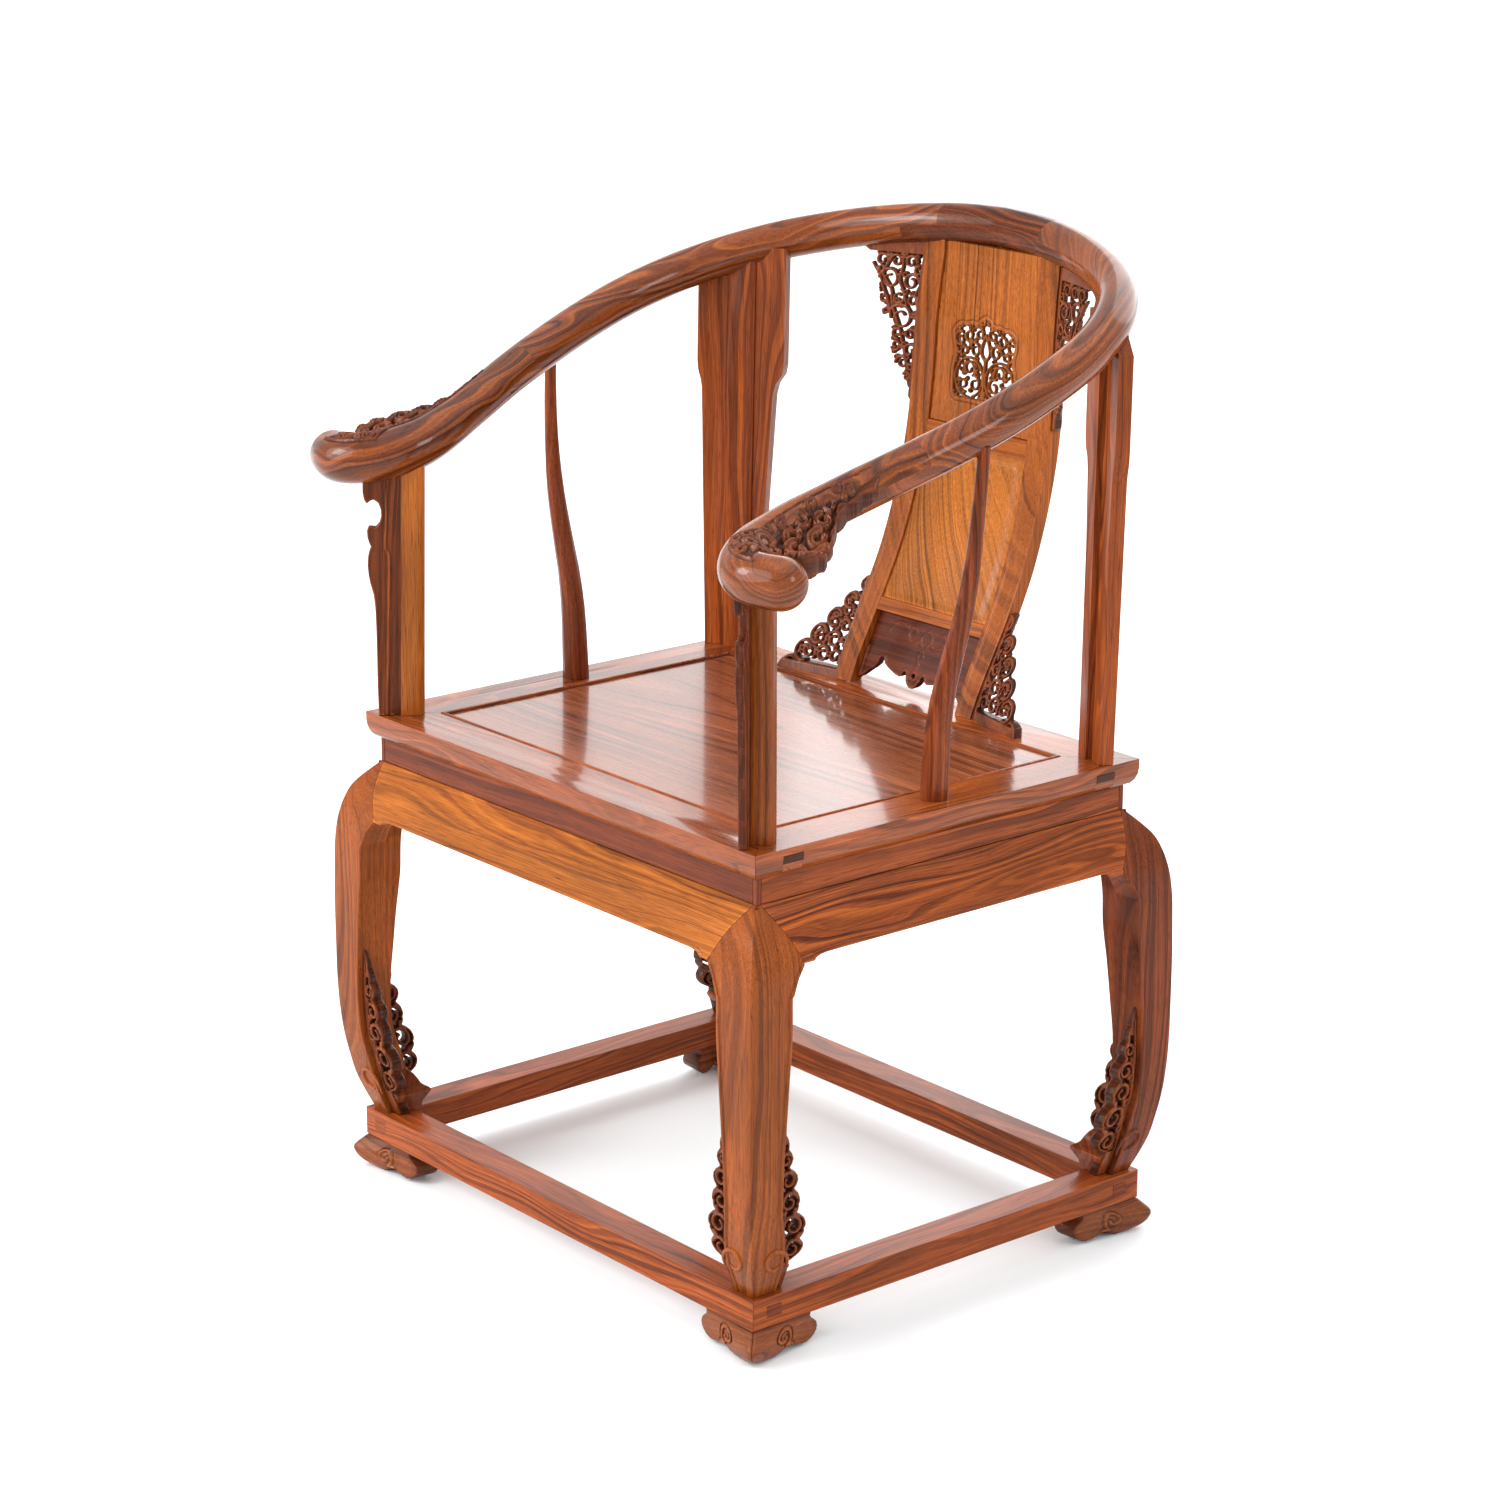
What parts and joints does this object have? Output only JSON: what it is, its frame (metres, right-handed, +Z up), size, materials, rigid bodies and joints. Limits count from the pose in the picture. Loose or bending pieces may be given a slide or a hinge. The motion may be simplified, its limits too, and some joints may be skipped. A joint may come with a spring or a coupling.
{
  "type": "horseshoe back armchair",
  "caption": "Hardwood armchair with a horseshoe rail, curved splat, carved wings, waisted seat on bulging legs and a base frame on small feet.",
  "frame": {"origin": "on the floor, under the middle of the chair's bounding box", "axes": "+Z up, -Y the way the sitter faces, +X to the right seen from the front"},
  "size_m": [0.7576, 0.6552, 1.0044],
  "materials": {
    "rail_wood": "lacquered, glossy",
    "seat_panel_wood": "lacquered, glossy",
    "seat_frame_wood": "lacquered, glossy",
    "waist_wood": "lacquered, glossy",
    "apron_wood": "lacquered, glossy",
    "carved_wood": "lacquered, glossy",
    "leg_wood": "lacquered, glossy",
    "base_wood": "lacquered, glossy",
    "foot_wood": "lacquered, glossy",
    "splat_panel_wood": "lacquered, glossy",
    "splat_frame_wood": "lacquered, glossy",
    "post_wood": "lacquered, glossy"
  },
  "bodies": {
    "root": {"apron_back": "apron_wood", "apron_front": "apron_wood", "apron_left": "apron_wood", "apron_right": "apron_wood", "arm_carving_left": "carved_wood", "arm_carving_right": "carved_wood", "base_rail_back": "base_wood", "base_rail_front": "base_wood", "base_rail_left": "base_wood", "base_rail_right": "base_wood", "foot_back_left": "foot_wood", "foot_back_right": "foot_wood", "foot_front_left": "foot_wood", "foot_front_right": "foot_wood", "front_bracket_left": "post_wood", "front_bracket_right": "post_wood", "front_post_left": "post_wood", "front_post_right": "post_wood", "leg_back_left": "leg_wood", "leg_back_right": "leg_wood", "leg_carving_back_left": "carved_wood", "leg_carving_back_right": "carved_wood", "leg_carving_front_left": "carved_wood", "leg_carving_front_right": "carved_wood", "leg_front_left": "leg_wood", "leg_front_right": "leg_wood", "lower_wing_left": "carved_wood", "lower_wing_right": "carved_wood", "rail_arm_end_left": "rail_wood", "rail_arm_end_right": "rail_wood", "rail_center": "rail_wood", "rail_side_left": "rail_wood", "rail_side_right": "rail_wood", "rear_flange_inner_left": "post_wood", "rear_flange_inner_right": "post_wood", "rear_flange_outer_left": "post_wood", "rear_flange_outer_right": "post_wood", "rear_post_left": "post_wood", "rear_post_right": "post_wood", "seat_batten": "seat_frame_wood", "seat_panel": "seat_panel_wood", "seat_rail_back": "seat_frame_wood", "seat_rail_front": "seat_frame_wood", "seat_rail_left": "seat_frame_wood", "seat_rail_right": "seat_frame_wood", "side_post_left": "post_wood", "side_post_right": "post_wood", "splat_apron": "splat_frame_wood", "splat_panel_lower": "splat_panel_wood", "splat_panel_upper": "splat_panel_wood", "splat_rail_lower": "splat_frame_wood", "splat_rail_middle": "splat_frame_wood", "splat_stile_left": "splat_frame_wood", "splat_stile_right": "splat_frame_wood", "upper_wing_left": "carved_wood", "upper_wing_right": "carved_wood", "waist_back": "waist_wood", "waist_front": "waist_wood", "waist_left": "waist_wood", "waist_right": "waist_wood"}
  },
  "joints": []
}
